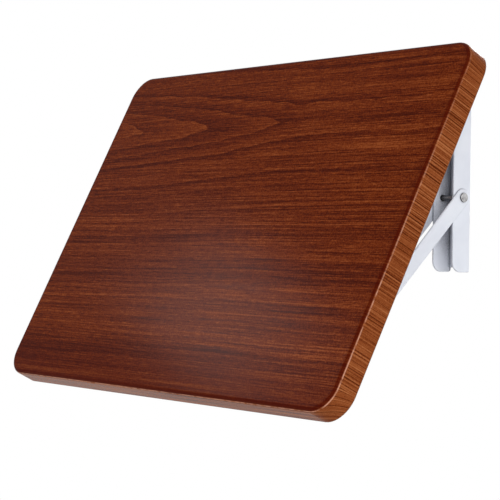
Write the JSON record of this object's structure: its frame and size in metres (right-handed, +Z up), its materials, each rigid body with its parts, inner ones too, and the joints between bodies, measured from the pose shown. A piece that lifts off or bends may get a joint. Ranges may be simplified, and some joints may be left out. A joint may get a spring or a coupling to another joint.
{
  "type": "wall mounted drop leaf table",
  "caption": "Rectangular wood grain table leaf with rounded corners that drops flat to the wall on white folding steel brackets with sliding struts and release levers.",
  "frame": {"origin": "on the wall plane, midway between the outer wall screw holes", "axes": "+X along the leaf's long edge to the right as seen from the room, +Y into the wall, +Z up"},
  "size_m": [0.6, 0.2317, 0.3662],
  "materials": {
    "wood_foil": "dark walnut grain foil, satin",
    "fibreboard": "raw medium density fibreboard",
    "backing": "plain brown balancing sheet, matt",
    "white_steel": "white powder coat, semi gloss",
    "lever_coat": "white powder coat, semi gloss",
    "rivet_steel": "bright zinc plate",
    "screw_steel": "zinc plate",
    "spring_steel": "drawn wire",
    "nylon": "moulded nylon, matt"
  },
  "bodies": {
    "wall_frame": {"wall_arm_left": "white_steel", "wall_arm_right": "white_steel", "hinge_pin_left": "rivet_steel", "hinge_pin_right": "rivet_steel", "hinge_spacers_left": "nylon", "hinge_spacers_right": "nylon", "strut_pin_left": "rivet_steel", "strut_pin_right": "rivet_steel"},
    "leaf": {"leaf_board": "fibreboard", "leaf_foil": "wood_foil", "leaf_backing": "backing", "table_arm_left": "white_steel", "table_arm_right": "white_steel", "leaf_screws_left": "screw_steel", "leaf_screws_right": "screw_steel", "lever_rivet_left": "rivet_steel", "lever_rivet_right": "rivet_steel", "spring_post_left": "rivet_steel", "spring_post_right": "rivet_steel", "lever_spring_left": "spring_steel", "lever_spring_right": "spring_steel"},
    "strut_left": {"strut_left": "white_steel", "slide_pin_left": "rivet_steel", "slide_washers_left": "nylon"},
    "strut_right": {"strut_right": "white_steel", "slide_pin_right": "rivet_steel", "slide_washers_right": "nylon"},
    "lever_left": {"release_lever_left": "lever_coat"},
    "lever_right": {"release_lever_right": "lever_coat"}
  },
  "joints": [
    {"name": "leaf_fold", "type": "hinge", "parent": "wall_frame", "child": "leaf", "pos_m": [0, -0.013, 0.102], "axis": [-1, 0, 0], "range_deg": [-27, 63]},
    {"name": "strut_left_turn", "type": "hinge", "parent": "wall_frame", "child": "strut_left", "pos_m": [-0.225, -0.0125, -0.0175], "axis": [-1, 0, 0], "range_deg": [-39.5, 92.1]},
    {"name": "strut_right_turn", "type": "hinge", "parent": "wall_frame", "child": "strut_right", "pos_m": [0.225, -0.0125, -0.0175], "axis": [-1, 0, 0], "range_deg": [-39.5, 92.1]},
    {"name": "lever_left_release", "type": "hinge", "parent": "leaf", "child": "lever_left", "pos_m": [-0.225, -0.05326, 0.02739], "axis": [1, 0, 0], "range_deg": [0, 12], "stiffness_Nm_per_rad": 0.06, "springref_deg": -28.65, "deforming": ["lever_spring_left"]},
    {"name": "lever_right_release", "type": "hinge", "parent": "leaf", "child": "lever_right", "pos_m": [0.225, -0.05326, 0.02739], "axis": [1, 0, 0], "range_deg": [0, 12], "stiffness_Nm_per_rad": 0.06, "springref_deg": -28.65, "deforming": ["lever_spring_right"]}
  ],
  "couplings": [
    {"joint": "strut_left_turn", "follows": "leaf_fold", "ratio": 1.46},
    {"joint": "strut_right_turn", "follows": "leaf_fold", "ratio": 1.46}
  ]
}
